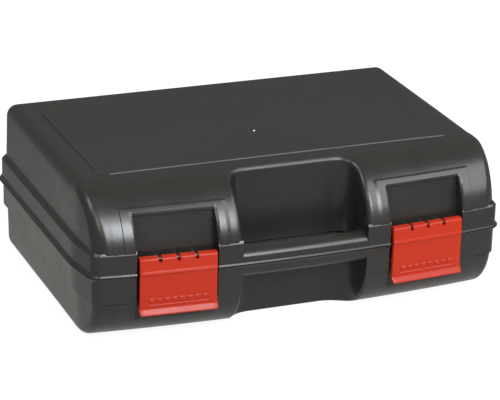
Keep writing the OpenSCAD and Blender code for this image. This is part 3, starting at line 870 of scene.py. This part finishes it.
def latchMesh(sign):
    # the section carried across the latch, its half width at each height being latchWidth, with
    # slots for the lugs cut into the roll and grip ribs on the face
    across = np.linspace(-1, 1, latchShape["columns"])
    x = across[:, None] * latchWidth(latchSection[:, 1])[None, :]
    points = np.concatenate([x[..., None], np.broadcast_to(latchSection, (*x.shape, 2))], -1)
    body = addObject("latchBody", meshFrom("latchBody", [tubePart(points)]))
    slot, half = np.array(latchShape["slotSection"], float), latchShape["slotHalf"]
    centres = [k * lugShape["pitch"] for k in (-1, 0, 1)]
    cutter = addObject("slotCutter", meshFrom("slotCutter", [
        tubePart(barAlongX(slot, [centre - half, centre + half])) for centre in centres]))
    cut = body.modifiers.new("slots", "BOOLEAN")
    cut.operation, cut.object, cut.solver = "DIFFERENCE", cutter, "EXACT"
    soft = body.modifiers.new("edges", "BEVEL")
    soft.width, soft.segments, soft.limit_method = latchShape["bevel"] * mm, 2, "ANGLE"
    soft.angle_limit = np.radians(latchShape["bevelAngle"])
    mesh = applied(body)
    bpy.data.objects.remove(cutter)
    p = ribShape
    centres = (np.arange(p["count"]) - (p["count"] - 1) / 2) * p["pitch"]
    ribs = [gripRib(centre, p["z"], p["half"]) for centre in centres]
    ribs.append(gripRib(0, p["barZ"], p["barHalf"]))
    mesh = joined("latch", [mesh, meshFrom("ribs", ribs)])
    places = np.zeros(len(mesh.vertices) * 3)
    mesh.vertices.foreach_get("co", places)
    mesh.vertices.foreach_set("co", (atLatch(sign, places.reshape(-1, 3) * 1000) * mm).ravel())
    mesh.update()
    finishShading(mesh, latchShape["sharpAngle"])
    return mesh


for label, sign in (("left", -1), ("right", 1)):
    latch = addObject(label + "Latch", latchMesh(sign), latchPlastic)
    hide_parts(label + "_latch")
    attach(latch, label + "_latch")
for name in ("left_latch_pin", "right_latch_pin", "left_hinge_pin", "right_hinge_pin"):
    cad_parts[name].data.materials.clear()
    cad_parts[name].data.materials.append(pinSteel)
print("latches done")

# The floor glows for the camera, and in reflections it is dimmer and fades with the distance from
# the case.
room = {"size": 8.0, "floor": 0.86, "floorRough": 0.9, "floorSpecular": 0.1,
        "glow": 0.86, "glowPower": 1.07,
        "mirror": (0.60, 0.34), "mirrorReach": (0.2, 0.5), "mirrorColour": (1, 0.97, 0.93, 1),
        "world": 0.30, "worldColour": (1, 0.955, 0.91, 1), "backdrop": (1, 1, 1, 1)}


def mixed(tree, share, first, second):
    node = tree.nodes.new("ShaderNodeMixShader")
    for socket, value in zip(node.inputs, (share, first, second)):
        feed(tree, socket, value)
    return node.outputs["Shader"]


def floorMaterial():
    mat, tree, shader = newMaterial("paleFloor")
    feed(tree, shader.inputs["Base Color"], (room["floor"],) * 3 + (1,))
    feed(tree, shader.inputs["Roughness"], room["floorRough"])
    feed(tree, shader.inputs["Specular IOR Level"], room["floorSpecular"])
    rays = tree.nodes.new("ShaderNodeLightPath")
    glow, mirrored = tree.nodes.new("ShaderNodeEmission"), tree.nodes.new("ShaderNodeEmission")
    feed(tree, glow.inputs["Strength"], room["glowPower"])
    feed(tree, mirrored.inputs["Color"], room["mirrorColour"])
    distance = tree.nodes.new("ShaderNodeVectorMath")
    distance.operation = "LENGTH"
    feed(tree, distance.inputs[0], tree.nodes.new("ShaderNodeTexCoord").outputs["Object"])
    feed(tree, mirrored.inputs["Strength"],
         mapped(tree, distance.outputs["Value"], room["mirrorReach"], room["mirror"]))
    seen = mathNode(tree, "MULTIPLY", rays.outputs["Is Camera Ray"], room["glow"])
    lit = mixed(tree, seen, shader.outputs["BSDF"], glow.outputs["Emission"])
    surface = mixed(tree, rays.outputs["Is Glossy Ray"], lit, mirrored.outputs["Emission"])
    feed(tree, tree.nodes["Material Output"].inputs["Surface"], surface)
    return mat


span = room["size"] / mm
floorPoints = np.array([[[-span, -span, 0], [span, -span, 0]], [[-span, span, 0], [span, span, 0]]])
floor = addObject("floor", meshFrom("floor", [gridPart(floorPoints)], outward=False), floorMaterial())

world = bpy.data.worlds.new("studio")
bpy.context.scene.world = world
world.use_nodes = True
sky = world.node_tree
sky.nodes.clear()
soft, white = sky.nodes.new("ShaderNodeBackground"), sky.nodes.new("ShaderNodeBackground")
feed(sky, soft.inputs["Color"], room["worldColour"])
feed(sky, soft.inputs["Strength"], room["world"])
feed(sky, white.inputs["Color"], room["backdrop"])
cameraRay = sky.nodes.new("ShaderNodeLightPath").outputs["Is Camera Ray"]
feed(sky, sky.nodes.new("ShaderNodeOutputWorld").inputs["Surface"],
     mixed(sky, cameraRay, soft.outputs["Background"], white.outputs["Background"]))

# name, place, size across and up, watts, colour
lamps = [
    ("topSoftbox", (-0.2, 0.1, 2.2), (2.2, 2.2), 27, (1, 1, 1)),
    ("frontSoftbox", (0.78, -1.36, 1.28), (2.6, 1.4), 56, (0.92, 0.96, 1.0)),
    ("frontStrip", (0.22, -1.66, 1.12), (0.62, 0.7), 20, (0.92, 0.96, 1.0)),
    ("leftLamp", (-1.08, -1.25, 1.22), (0.24, 0.6), 6, (1.0, 0.96, 0.91)),
    ("leftSoftbox", (-1.25, -0.3, 1.75), (0.5, 0.9), 9, (0.95, 0.97, 1.0)),
]
aim = Vector((0, 0, 0.07))
for name, place, (across, up), power, colour in lamps:
    lamp = bpy.data.lights.new(name, "AREA")
    lamp.shape, lamp.size, lamp.size_y, lamp.energy, lamp.color = "RECTANGLE", across, up, power, colour
    thing = bpy.data.objects.new(name, lamp)
    bpy.context.scene.collection.objects.link(thing)
    thing.location = place
    thing.rotation_euler = (aim - Vector(place)).to_track_quat("-Z", "Y").to_euler()
    thing.visible_glossy = name != "topSoftbox"

# camera: direction, roll and focal length of the view, with the aim beside the case's middle
lens = {"azimuth": -22.28, "elevation": 21.38, "roll": -1.47, "distance": 1.999,
        "focalPixels": 2351.0, "imageWidth": 500, "sensor": 36.0, "clip": (0.05, 60),
        "across": 0.00193, "above": 0.00119, "originY": -0.00026, "originZ": 0.062}
az, el, roll = (np.radians(lens[k]) for k in ("azimuth", "elevation", "roll"))
backward = np.array([np.sin(az) * np.cos(el), -np.cos(az) * np.cos(el), np.sin(el)])
rightward = np.array([np.cos(az), np.sin(az), 0.0])
upward = np.cross(backward, rightward)
place = rightward * lens["across"] + upward * lens["above"] + backward * lens["distance"]
place = place + [0, lens["originY"], lens["originZ"]]
camX = np.cos(roll) * rightward - np.sin(roll) * upward
camY = np.sin(roll) * rightward + np.cos(roll) * upward
cameraData = bpy.data.cameras.new("camera")
cameraData.sensor_fit, cameraData.sensor_width = "HORIZONTAL", lens["sensor"]
cameraData.lens = lens["focalPixels"] / lens["imageWidth"] * lens["sensor"]
cameraData.clip_start, cameraData.clip_end = lens["clip"]
camera = bpy.data.objects.new("camera", cameraData)
bpy.context.scene.collection.objects.link(camera)
camera.matrix_world = Matrix([*np.stack([camX, camY, backward, place], -1).tolist(), [0, 0, 0, 1]])
bpy.context.scene.camera = camera
bpy.context.scene.view_settings.view_transform = "Standard"
print("light and camera done")
